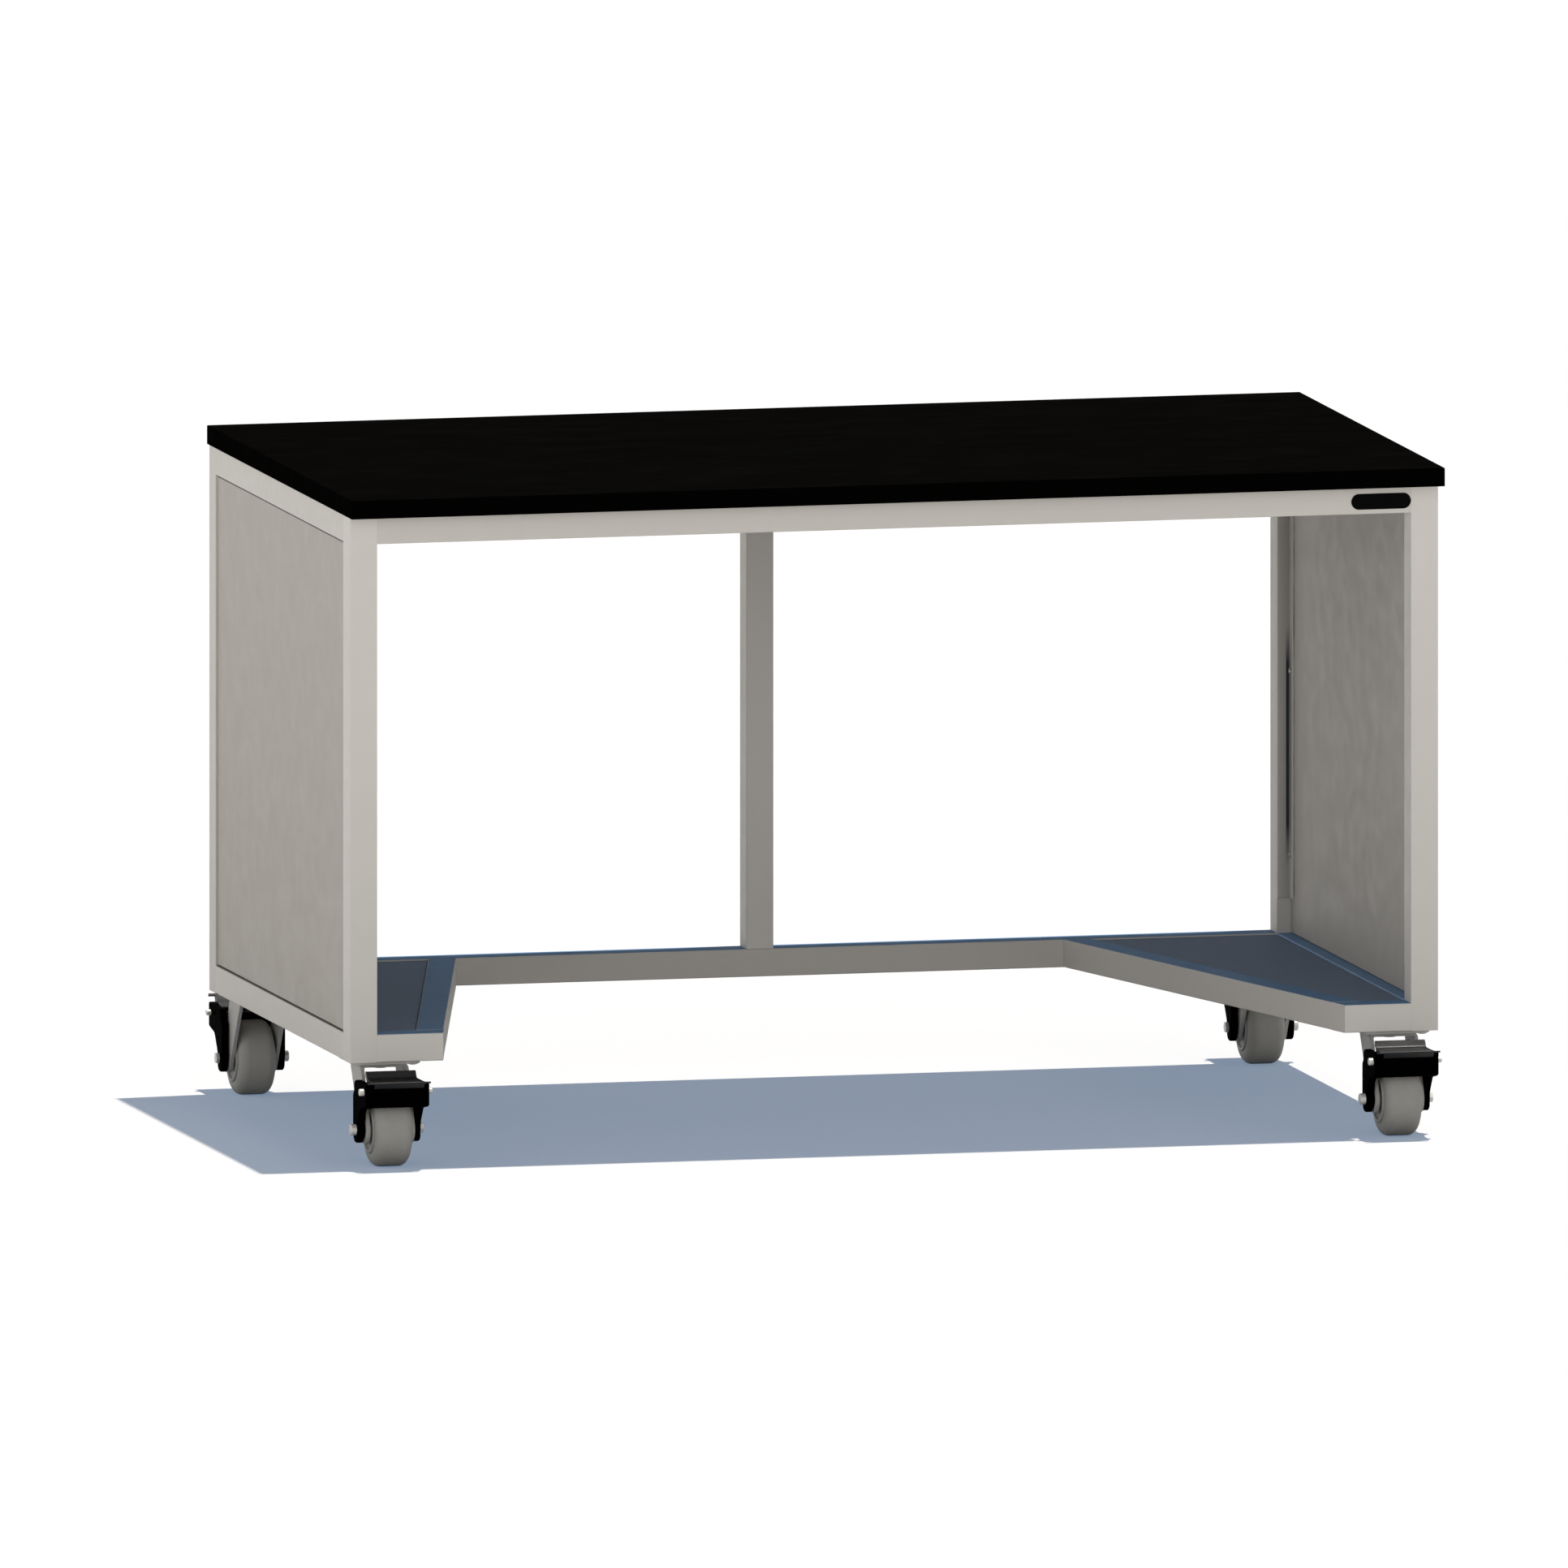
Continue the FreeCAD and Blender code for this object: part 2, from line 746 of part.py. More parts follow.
def add_side_panel(side):
    """A board set back between the posts and rails, with pilot holes for its screws."""
    reach = half_depth - tube - size("panel_gap")
    base = bottom + tube + size("panel_gap")
    height = rail_under - size("panel_gap") - base
    outer = side * (half_length - size("panel_recess"))
    inner = side * (half_length - panel_inner)
    body = new_body(f"{side_name(side)}_side_panel")
    board = new_sketch(body, "XY_Plane", base)
    draw_outline(board, rectangle(inner, outer, -reach, reach))
    pad(body, board, height)
    holes = new_sketch(body, "YZ_Plane", inner)
    for end in (FRONT, REAR):
        for height in panel_screw_rows():
            pilot = size("panel_screw_diameter") / 2 + size("running_gap")
            draw_circle(holes, end * screw_depth, height, pilot)
    depth = size("panel_screw_bite") + size("running_gap")
    pocket(body, holes, depth, reverse=side == RIGHT)
    dress(
        body,
        "Chamfer",
        size("panel_edge"),
        lambda edge: edge.Curve.TypeId == "Part::GeomLine" and lies_at(edge, X_AXIS, outer),
    )


def add_panel_angles(side):
    """The two upright angles of one side, each with a leg on the board and one on its post."""
    leg, thickness = size("angle_leg"), size("angle_thickness")
    body = new_body(f"{side_name(side)}_panel_angles", several=True)
    section = new_sketch(body, "XY_Plane", angle_low)
    root_x, root_y = panel_inner, half_depth - tube
    corners = [
        (root_x, root_y),
        (root_x + leg, root_y),
        (root_x + leg, root_y - thickness),
        (root_x + thickness, root_y - thickness, thickness / 2),
        (root_x + thickness, root_y - leg),
        (root_x, root_y - leg),
    ]
    draw_outline(section, [(side * (half_length - corner[0]),) + corner[1:] for corner in corners])
    pad(body, section, angle_length)
    holes = new_sketch(body, "YZ_Plane", side * (half_length - root_x))
    for height in panel_screw_rows():
        draw_circle(holes, screw_depth, height, size("panel_screw_diameter") / 2 + size("running_gap"))
    pocket(body, holes, thickness, reverse=side == LEFT)
    mirror(body, "XZ_Plane")


def add_panel_screws():
    """All the screws that hold both boards, heads on the angles inside the bench."""
    body = new_body("panel_screws", several=True)
    head_x = half_length - panel_inner - size("angle_thickness")
    head, shank = size("panel_screw_head") / 2, size("panel_screw_diameter") / 2
    tip_x = half_length - panel_inner + size("panel_screw_bite")
    screw = front_sketch(body, screw_depth)
    first = panel_screw_rows()[0]
    outline = [
        (head_x - size("panel_screw_head_thickness"), first),
        (head_x - size("panel_screw_head_thickness"), first + head, head / 2),
        (head_x, first + head),
        (head_x, first + shank),
        (tip_x - shank, first + shank),
        (tip_x, first),
    ]
    draw_outline(screw, outline)
    revolve_about(body, screw, (head_x, first), (tip_x, first))
    repeat(body, "Z_Axis", screw_pitch_z, size("panel_screw_count"))
    mirror(body, "XZ_Plane")
    mirror(body, "YZ_Plane")


# ---------------------------------------------------------------- worktop and badge
def add_worktop():
    """The slab, with blind holes for its screws and eased edges."""
    body = new_body("worktop")
    slab = new_sketch(body, "XY_Plane", top)
    half_width = size("worktop_length") / 2
    front_edge = -half_depth - size("front_overhang")
    rear_edge = half_depth + size("rear_overhang")
    draw_outline(slab, rectangle(-half_width, half_width, front_edge, rear_edge))
    pad(body, slab, size("worktop_thickness"))
    places, _ = top_screw_places()
    middle = half_depth - tube / 2
    holes = [(x, end * middle) for x in places for end in (FRONT, REAR)]
    bite = size("top_screw_bite") + size("running_gap")
    drill_down_side(body, holes, size("top_screw_diameter") + 2 * size("running_gap"), top, bite)
    upper = top + size("worktop_thickness")
    dress(
        body,
        "Chamfer",
        size("worktop_edge"),
        lambda edge: runs_along(edge, Z_AXIS) and edge.Length > size("worktop_thickness").value / 2
        or lies_at(edge, Z_AXIS, upper),
    )


def add_worktop_screws():
    """Two rows of screws inside the long top rails, heads under the rails' upper walls."""
    body = new_body("worktop_screws", several=True)
    places, pitch = top_screw_places()
    first = places[0]
    middle = half_depth - tube / 2
    head, shank = size("top_screw_head") / 2, size("top_screw_diameter") / 2
    seat = top - wall
    tip = top + size("top_screw_bite")
    screw = front_sketch(body, middle)
    outline = [
        (first, seat - size("top_screw_head_thickness")),
        (first + head, seat - size("top_screw_head_thickness")),
        (first + head, seat),
        (first + shank, seat),
        (first + shank, tip - shank),
        (first, tip),
    ]
    draw_outline(screw, outline)
    revolve_about(body, screw, (first, seat), (first, tip))
    repeat(body, "X_Axis", pitch, size("top_screw_count"))
    mirror(body, "XZ_Plane")


def add_badge():
    """A bare round-ended plate on the face of the front rail."""
    body = new_body("badge_plate")
    plate = new_sketch(body, "XZ_Plane", half_depth)
    radius = size("badge_height") / 2
    draw_slot(
        plate,
        half_length - size("badge_inset"),
        top - size("badge_drop"),
        size("badge_length") / 2 - radius,
        radius,
    )
    pad(body, plate, size("badge_thickness"))
    face = -half_depth - size("badge_thickness")
    dress(body, "Fillet", size("badge_thickness") / 2, lambda edge: lies_at(edge, Y_AXIS, face))


# ---------------------------------------------------------------- caster fastening
def add_caster_pads():
    """Gusset plates welded into the four bottom corners, each with one threaded insert's hole."""
    body = new_body("caster_pads", several=True)
    thickness = size("pad_thickness")
    plate = new_sketch(body, "XY_Plane", bottom)
    far_x = bolt_far_x + size("pad_margin")
    far_y = bolt_far_y + size("pad_margin")
    draw_outline(
        plate,
        in_plan(
            RIGHT,
            [
                (tube, frame_depth - tube),
                (tube, frame_depth - far_y),
                (far_x - size("pad_margin") / 2, frame_depth - far_y),
                (far_x, frame_depth - far_y + size("pad_margin") / 2),
                (far_x, frame_depth - tube),
            ],
        ),
    )
    pad(body, plate, thickness)
    front = new_sketch(body, "XY_Plane", bottom)
    draw_outline(
        front,
        in_plan(
            RIGHT,
            [
                (tube, tube),
                (knee_line(tube, tube), tube),
                (knee_line(far_y, tube), far_y),
                (tube, far_y),
            ],
        ),
    )
    pad(body, front, thickness)
    holes = [(half_length - bolt_far_x, end * (half_depth - bolt_far_y)) for end in (FRONT, REAR)]
    drill_down_side(body, holes, insert_hole, bottom, thickness)
    mirror(body, "YZ_Plane")


def add_caster_bolts():
    """Sixteen low-headed bolts, each in a threaded insert set into the frame's underside."""
    body = new_body("caster_bolts", several=True)
    x = half_length - bolt_far_x
    y = half_depth - bolt_far_y
    seat = bottom - size("plate_thickness")
    head, shank = size("bolt_head") / 2, size("bolt_diameter") / 2
    tip = bottom + size("insert_height")
    bore = shank + size("running_gap")
    fastener = front_sketch(body, y)
    bolt = [
        (x, seat - size("bolt_head_thickness")),
        (x + head, seat - size("bolt_head_thickness"), size("bolt_head_round")),
        (x + head, seat),
        (x + shank, seat),
        (x + shank, tip),
        (x, tip),
    ]
    draw_outline(fastener, bolt)
    insert = rectangle(x + bore, x + size("insert_diameter") / 2, bottom, tip)
    draw_outline(fastener, insert)
    revolve_about(body, fastener, (x, seat), (x, tip))
    repeat(body, "X_Axis", size("bolt_spacing_x"), as_length(2))
    repeat(body, "Y_Axis", size("bolt_spacing_y"), as_length(2))
    mirror(body, "XZ_Plane")
    mirror(body, "YZ_Plane")


# ---------------------------------------------------------------- casters
# Each caster is drawn about its swivel axis with its pedal towards -Y, and the rear pair is
# turned half round.  Across means along X; ahead means from the wheel's axle to the pedal.
trail = size("trail")
plate_under = bottom - size("plate_thickness")
crown_top = plate_under - size("race_gap")
crown_under = crown_top - size("fork_sheet")
housing_half = size("housing_width") / 2
arm_inner = housing_half - size("housing_arm")
leg_outer = arm_inner - size("arm_clearance")
leg_inner = leg_outer - size("fork_sheet")
tyre_half = leg_inner - size("tyre_clearance")
gap = size("running_gap")


def from_axle(ahead, rise):
    """A place in the caster's side view, measured from the wheel's axle."""
    return -(trail + ahead), axle_height + rise


def side_view(points):
    """An outline in the caster's side view, from points (ahead, rise) or with a radius."""
    return [from_axle(point[0], point[1]) + tuple(point[2:]) for point in points]


class Caster:
    """One corner of the bench and the placement of what is fitted there."""

    def __init__(self, side, end):
        self.name = f"{end_name(end)}_{side_name(side)}"
        self.end = end
        self.x = side * (half_length - size("caster_inset_x"))
        self.y = end * (half_depth - size("caster_inset_y"))
        self.turn = ZERO if end == FRONT else HALF_TURN

    def body(self, part, forward=ZERO, height=ZERO, tilt=ZERO, several=False):
        """A body for one part, its origin this far towards the pedal and this high."""
        y = self.y + self.end * forward
        return new_body(f"{self.name}_{part}", self.x, y, height, self.turn, tilt, several)


def add_top_plate(caster):
    """The mounting plate with four slots, and the ball race pressed under it."""
    body = caster.body("top_plate", height=plate_under)
    half_x, half_y = size("plate_width") / 2, size("plate_length") / 2
    corner = size("plate_corner")
    plate = new_sketch(body, "XY_Plane")
    draw_outline(plate, [point + (corner,) for point in rectangle(-half_x, half_x, -half_y, half_y)])
    draw_circle(plate, ZERO, ZERO, size("kingpin_diameter") / 2 + gap)
    pad(body, plate, size("plate_thickness"))
    race = new_sketch(body, "XY_Plane")
    draw_circle(race, ZERO, ZERO, size("race_outer") / 2)
    draw_circle(race, ZERO, ZERO, size("race_inner") / 2)
    pad(body, race, size("race_gap") - 2 * gap, reverse=True)
    slots = new_sketch(body, "XY_Plane")
    slot_radius = size("bolt_diameter") / 2 + 2 * gap
    for across in (LEFT, RIGHT):
        for along in (FRONT, REAR):
            x = across * size("bolt_spacing_x") / 2
            y = along * size("bolt_spacing_y") / 2
            draw_slot(slots, x, y, size("slot_travel") / 2, slot_radius)
    pocket(body, slots, size("plate_thickness"), reverse=True)


def add_kingpin(caster):
    """The rivet that holds the fork under the plate and turns in the fork's crown."""
    body = caster.body("kingpin", height=crown_under)
    shank, head = size("kingpin_diameter") / 2, size("kingpin_head") / 2
    low = -size("kingpin_head_thickness") - gap
    high = size("fork_height") - (crown_under - axle_height) - gap
    rivet = new_sketch(body, "XZ_Plane")
    outline = [
        (ZERO, low),
        (head, low, size("kingpin_head_thickness") / 2),
        (head, -gap),
        (shank, -gap),
        (shank, high),
        (ZERO, high),
    ]
    draw_outline(rivet, outline)
    revolve(body, rivet, "V_Axis")


def under_eye(along, rise):
    """Where the edge of a leg meets the level tangent under its round end.

    The edge comes from a point this far along and above the axle and is tangent to the end.
    """
    eye = size("fork_eye")
    run = root(along * along + rise * rise - eye * eye)
    return eye * (eye + rise) / (run + along)


def add_fork(caster):
    """A pressed fork: a crown that carries the kingpin and two legs with a round eye at the axle."""
    body = caster.body("fork")
    half_crown = size("fork_depth") / 2
    rise = crown_under - axle_height
    toe = trail + under_eye(half_crown - trail, rise)
    heel = trail - under_eye(half_crown + trail, rise)
    lower = axle_height - size("fork_eye")
    end_round = size("fork_eye") - size("fork_flat")
    profile = new_sketch(body, "YZ_Plane")
    outline = [
        (half_crown, crown_top),
        (-half_crown, crown_top),
        (-half_crown, crown_under),
        (-toe, lower, end_round),
        (-heel, lower, end_round),
        (half_crown, crown_under),
    ]
    draw_outline(profile, outline)
    pad(body, profile, 2 * leg_outer, symmetric=True)
    dress(
        body,
        "Fillet",
        size("fork_bend"),
        lambda edge: runs_along(edge, Y_AXIS) and lies_at(edge, Z_AXIS, crown_top),
    )
    channel = new_sketch(body, "XZ_Plane")
    inner_bend = size("fork_bend") - size("fork_sheet")
    inside = [
        (-leg_inner, lower - PAST),
        (leg_inner, lower - PAST),
        (leg_inner, crown_under, inner_bend),
        (-leg_inner, crown_under, inner_bend),
    ]
    draw_outline(channel, inside)
    pocket(body, channel, 2 * (toe + half_crown), symmetric=True)
    bore = new_sketch(body, "YZ_Plane")
    draw_circle(bore, -trail, axle_height, size("axle_diameter") / 2 + gap)
    pocket(body, bore, 2 * leg_outer, symmetric=True)
    pin_eye = new_sketch(body, "XY_Plane", crown_under)
    draw_circle(pin_eye, ZERO, ZERO, size("kingpin_diameter") / 2 + gap)
    pocket(body, pin_eye, size("fork_sheet"), reverse=True)


def add_axle(caster):
    """The plated fasteners of a caster: axle bolt, its nut, and the pin of the pedal."""
    body = caster.body("axle", forward=trail, height=axle_height, several=True)
    shank, head = size("axle_diameter") / 2, size("axle_head") / 2
    nut_end = housing_half + size("nut_thickness")
    bolt = new_sketch(body, "XY_Plane")
    outline = [
        (-housing_half - size("axle_head_length"), ZERO),
        (-housing_half - size("axle_head_length"), head, size("axle_head_round")),
        (-housing_half, head),
        (-housing_half, shank),
        (nut_end, shank),
        (nut_end, ZERO),
    ]
    draw_outline(bolt, outline)
    revolve(body, bolt, "H_Axis")
    nut = new_sketch(body, "YZ_Plane", housing_half)
    flat = size("nut_flats") / 2
    point = flat / COS_30
    hexagon = [
        (point, ZERO),
        (point / 2, flat),
        (-point / 2, flat),
        (-point, ZERO),
        (-point / 2, -flat),
        (point / 2, -flat),
    ]
    draw_outline(nut, hexagon)
    draw_circle(nut, ZERO, ZERO, shank + gap)
    pad(body, nut, size("nut_thickness"))
    pin = new_sketch(body, "XY_Plane", size("pin_rise"))
    ahead = -size("pin_ahead")
    pin_shank, pin_head = size("pin_diameter") / 2, size("pin_head") / 2
    pin_end = housing_half + size("pin_head_length")
    stem = [
        (-pin_end, ahead),
        (-pin_end, ahead + pin_head, size("pin_head_round")),
        (-housing_half, ahead + pin_head),
        (-housing_half, ahead + pin_shank),
        (pin_end, ahead + pin_shank, size("pin_tip_round")),
        (pin_end, ahead),
    ]
    draw_outline(pin, stem)
    revolve_about(body, pin, (-pin_end, ahead), (pin_end, ahead))


def round_front_corners(body, level, half_width, front, radius):
    """Round the two front corners of a body in plan, above this level."""
    for side in (LEFT, RIGHT):
        corner = new_sketch(body, "XY_Plane", level)
        edge = side * half_width
        inward = side * (half_width - radius - PAST)
        outward = side * (half_width + PAST)
        outline = [
            (inward, front - PAST),
            (outward, front - PAST),
            (outward, front + radius + PAST),
            (edge, front + radius + PAST),
            (edge, front, radius),
            (inward, front),
        ]
        draw_outline(corner, outline)
        pocket(body, corner, size("housing_top") + size("shoulder_rise"), reverse=True)


def add_brake_housing(caster):
    """The yoke outside the fork: two arms from the axle to the pin, joined by a front apron."""
    body = caster.body("brake_housing")
    fore, back, drop = size("arm_fore"), size("arm_back"), size("arm_drop")
    jog = back - size("arm_jog_depth")
    front, crest = size("housing_fore"), size("housing_top")
    profile = new_sketch(body, "YZ_Plane")
    outline = [
        (fore, -drop, size("arm_end_round")),
        (fore, size("arm_knee"), size("knee_round")),
        (size("arm_elbow_fore"), size("arm_elbow_rise"), size("elbow_round")),
        (front, size("apron_bottom"), size("apron_round")),
        (front, size("shoulder_rise"), size("shoulder_round")),
        (size("crest_fore"), crest, size("crest_round")),
        (-jog, crest, size("crest_back_round")),
        (-jog, size("arm_jog_rise") + size("arm_jog_depth"), size("arm_jog_round")),
        (-back, size("arm_jog_rise"), size("arm_jog_round")),
        (-back, size("arm_knee"), size("arm_back_round")),
        (-size("arm_heel"), -drop, size("arm_end_round")),
    ]
    draw_outline(profile, side_view(outline))
    pad(body, profile, size("housing_width"), symmetric=True)
    dress(
        body,
        "Fillet",
        size("housing_edge"),
        lambda edge: lies_at(edge, X_AXIS, housing_half) or lies_at(edge, X_AXIS, -housing_half),
    )
    round_front_corners(body, axle_height, housing_half, -(trail + front), size("housing_bend"))
    hollow_housing(body)
    add_housing_bosses(body)


def hollow_housing(body):
    """The room between the arms: for the wheel, for the pedal's boss and for its tread."""
    rear = size("arm_back") + PAST - trail
    rooms = (
        (size("apron_lip"), -size("arm_drop") - PAST),
        (size("apron_wall"), size("apron_lip_top")),
        (-PAST, size("apron_top")),
    )
    for remaining, floor in rooms:
        room = new_sketch(body, "XY_Plane", axle_height + floor)
        front = -(trail + size("housing_fore") - remaining)
        draw_outline(room, rectangle(-arm_inner, arm_inner, front, rear))
        pocket(body, room, size("shoulder_rise") - floor + PAST, reverse=True)
    bore = new_sketch(body, "YZ_Plane")
    axle_y, axle_z = from_axle(ZERO, ZERO)
    draw_circle(bore, axle_y, axle_z, size("axle_diameter") / 2 + gap)
    pin_y, pin_z = from_axle(size("pin_ahead"), size("pin_rise"))
    draw_circle(bore, pin_y, pin_z, size("pin_diameter") / 2 + gap)
    pocket(body, bore, size("housing_width"), symmetric=True)


def add_housing_bosses(body):
    """Round bosses that seat each arm on the outside of its fork leg."""
    axle_y, axle_z = from_axle(ZERO, ZERO)
    for side in (LEFT, RIGHT):
        boss = new_sketch(body, "YZ_Plane", side * (leg_outer + 2 * gap))
        draw_circle(boss, axle_y, axle_z, size("housing_boss") / 2)
        draw_circle(boss, axle_y, axle_z, size("axle_diameter") / 2 + gap)
        pad(body, boss, arm_inner - leg_outer, reverse=side == LEFT)


def pedal_side(points):
    """An outline in the pedal's side view, from points (ahead, rise) or with a radius."""
    return [(-point[0],) + tuple(point[1:]) for point in points]


def add_brake_pedal(caster):
    """The pedal: a concave tread with a lip, on a boss with the cam that presses the tyre."""
    tilt = ZERO if caster.end == FRONT else -size("pedal_lift")
    height = axle_height + size("pin_rise")
    forward = trail + size("pin_ahead")
    body = caster.body("brake_pedal", forward=forward, height=height, tilt=tilt)
    lip_reach, lip_rise = size("lip_reach"), size("lip_rise")
    under = size("tread_rise") - size("pedal_sheet")
    chin = lip_reach - size("lip_taper")
    web_back = size("tread_back") + size("heel_web_run")
    pedal_width = 2 * (arm_inner - size("pedal_clearance"))
    tread = new_sketch(body, "YZ_Plane")
    outline = [
        (-size("heel_back"), size("heel_rise")),
        (size("heel_thickness") - size("heel_back"), size("heel_rise")),
        (-size("tread_back"), size("tread_back_rise"), size("tread_back_round")),
        (size("tread_fore"), size("tread_rise"), size("tread_round")),
        (lip_reach, lip_rise, size("lip_round")),
        (chin, under, size("chin_round")),
        (-size("tread_under_back"), under),
        (-web_back, size("tread_back_rise") - size("heel_web"), size("heel_web_round")),
        (-size("heel_back"), size("heel_rise") - size("heel_drop")),
    ]
    draw_outline(tread, pedal_side(outline))
    pad(body, tread, pedal_width, symmetric=True)
    slope = (lip_rise - size("tread_rise")) / (lip_reach - size("tread_fore"))
    taper = size("lip_taper") / (lip_rise - under)
    wing_under = lip_rise - size("wing_thickness")
    wings = new_sketch(body, "YZ_Plane")
    wing_outline = [
        (lip_reach - size("wing_depth"), lip_rise - slope * size("wing_depth")),
        (lip_reach, lip_rise, size("lip_round")),
        (lip_reach - taper * size("wing_thickness"), wing_under),
        (lip_reach - size("wing_depth"), wing_under),
    ]
    draw_outline(wings, pedal_side(wing_outline))
    lip_half = housing_half - size("lip_inset")
    pad(body, wings, 2 * lip_half, symmetric=True)
    round_front_corners(body, ZERO, lip_half, -lip_reach, size("lip_corner"))
    boss = new_sketch(body, "YZ_Plane")
    draw_circle(boss, ZERO, ZERO, size("pedal_boss") / 2)
    pad(body, boss, pedal_width, symmetric=True)
    add_cam(body)
    bore = new_sketch(body, "YZ_Plane")
    draw_circle(bore, ZERO, ZERO, size("pin_diameter") / 2 + gap)
    pocket(body, bore, pedal_width + 2 * PAST, symmetric=True)


def add_cam(body):
    """The cam: its nose points at the axle when the lip is down, just clear of the tyre."""
    ahead, rise = size("pin_ahead"), size("pin_rise")
    span = root(ahead * ahead + rise * rise)
    reach = span - axle_height - size("brake_gap")

    def place(out, aside):
        """A point out along the line from the pin to the axle, and aside from that line."""
        x = (aside * rise - out * ahead) / span
        y = -(out * rise + aside * ahead) / span
        return x, y

    cam = new_sketch(body, "YZ_Plane")
    outline = [
        place(ZERO, size("cam_foot")),
        place(reach - size("cam_nose_drop"), size("cam_nose")),
        place(reach, ZERO),
        place(reach - size("cam_back_run"), -size("cam_back")),
        place(ZERO, -size("cam_foot")),
    ]
    draw_outline(cam, pedal_side(outline))
    pad(body, cam, size("cam_width"), symmetric=True)


def add_tyre(caster):
    """The tread: a ring with rounded shoulders."""
    body = caster.body("tyre", forward=trail, height=axle_height)
    inner, outer = size("tyre_bore") / 2, size("wheel_diameter") / 2
    shoulder = size("tyre_shoulder")
    ring = new_sketch(body, "XY_Plane")
    outline = [
        (-tyre_half, inner),
        (tyre_half, inner),
        (tyre_half, outer, shoulder),
        (-tyre_half, outer, shoulder),
    ]
    draw_outline(ring, outline)
    revolve(body, ring, "H_Axis")


def add_hub(caster):
    """The wheel's core: a raised ring round a flat web, and a long boss that turns on the axle."""
    body = caster.body("hub", forward=trail, height=axle_height)
    rim_outer = size("tyre_bore") / 2 - gap
    rim_inner = rim_outer - size("hub_rim")
    rim_half = leg_inner - size("ring_clearance")
    web_half = rim_half - size("web_recess")
    boss, boss_half = size("hub_boss") / 2, leg_inner - size("side_play")
    bore = size("axle_diameter") / 2 + gap
    core = new_sketch(body, "XY_Plane")
    half_outline = [
        (boss_half, bore),
        (boss_half, boss),
        (web_half, boss),
        (web_half, rim_inner, size("hub_groove")),
        (rim_half, rim_inner, size("hub_ring_inner_round")),
        (rim_half, rim_outer, size("hub_ring_outer_round")),
    ]
    mirrored = [(-point[0],) + tuple(point[1:]) for point in reversed(half_outline)]
    draw_outline(core, half_outline + mirrored)
    revolve(body, core, "H_Axis")


# ---------------------------------------------------------------- assembly
def build_bench():
    """All that is welded and screwed together above the casters."""
    add_worktop()
    add_worktop_screws()
    add_long_rail("front_top_rail", FRONT, rail_under, screwed=True)
    add_long_rail("rear_top_rail", REAR, rail_under, screwed=True)
    add_long_rail("rear_bottom_rail", REAR, bottom, screwed=False)
    add_centre_post()
    for side in (LEFT, RIGHT):
        add_short_rail(f"{side_name(side)}_top_rail", side, rail_under, on_casters=False)
        add_short_rail(f"{side_name(side)}_bottom_rail", side, bottom, on_casters=True)
        add_foot_rail(side)
        add_diagonal_rail(side)
        add_deck(side)
        add_side_panel(side)
        add_panel_angles(side)
        for end in (FRONT, REAR):
            add_post(side, end)
    add_panel_screws()
    add_badge()
    add_caster_pads()
    add_caster_bolts()


def build_casters():
    """The four casters, part by part."""
    for end in (FRONT, REAR):
        for side in (LEFT, RIGHT):
            caster = Caster(side, end)
            add_top_plate(caster)
            add_kingpin(caster)
            add_fork(caster)
            add_axle(caster)
            add_brake_housing(caster)
            add_brake_pedal(caster)
            add_tyre(caster)
            add_hub(caster)


def check_document():
    """Stop when an object failed, or when a part has no valid solid."""
    for item in doc.Objects:
        if "Invalid" in item.State or "Error" in item.State:
            raise ValueError(f"{item.Label} failed: {item.State}")
    for body in doc.findObjects("PartDesign::Body"):
        if body.Shape.isNull() or not body.Shape.isValid() or not body.Shape.Solids:
            raise ValueError(f"{body.Label} has no valid shape")


build_bench()
build_casters()
doc.recompute()
check_document()
os.makedirs("parts", exist_ok=True)
for body in doc.findObjects("PartDesign::Body"):
    body.Shape.exportStep(os.path.join("parts", f"{body.Label}.step"))
    print(body.Label, len(body.Shape.Solids), round(body.Shape.Volume))
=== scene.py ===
"""Looks of the mobile laboratory bench: finishes, floor, light and camera, in metres."""
import json
import math

import bpy
from mathutils import Matrix, Vector

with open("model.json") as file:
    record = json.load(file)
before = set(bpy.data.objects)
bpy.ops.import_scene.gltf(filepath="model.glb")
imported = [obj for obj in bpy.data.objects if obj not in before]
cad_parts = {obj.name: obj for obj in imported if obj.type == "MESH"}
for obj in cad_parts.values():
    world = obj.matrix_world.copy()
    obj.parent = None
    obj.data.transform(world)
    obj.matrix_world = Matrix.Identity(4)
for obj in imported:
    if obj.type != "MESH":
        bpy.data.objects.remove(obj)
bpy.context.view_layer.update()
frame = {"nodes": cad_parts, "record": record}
nodes = frame["nodes"]


# ---------------------------------------------------------------- colours and places
def linear(red, green, blue):
    """An 8-bit screen colour as the linear colour that a shader takes."""
    values = []
    for channel in (red, green, blue):
        level = channel / 255
        values.append(level / 12.92 if level <= 0.04045 else ((level + 0.055) / 1.055) ** 2.4)
    return (*values, 1.0)


def shade(color, factor):
    """A linear colour made lighter or darker."""
    return (*[channel * factor for channel in color[:3]], 1.0)


BEIGE = linear(200, 195, 187)
# Painted light: the frame beige made lighter for the lower rails, to stand in for light that they
# lack.
LIT_BEIGE = linear(205, 200, 192)
# Painted shade: the frame beige made darker for the top rails, the rear posts and the rear rail.
SHADED_BEIGE = linear(192, 187, 179)
# Painted shade: the bluish shade under the worktop, on faces that look up and on the lip above
# the deck.
SHADE_BLUE = linear(107, 140, 176)
# Painted shade: the dark line on the ledge beside a side board.
GROOVE_SHADE = linear(118, 115, 110)
# Painted shade: deep shade at the panel angles' roots and under the top rails.
DEEP_SHADE = linear(24, 26, 28)

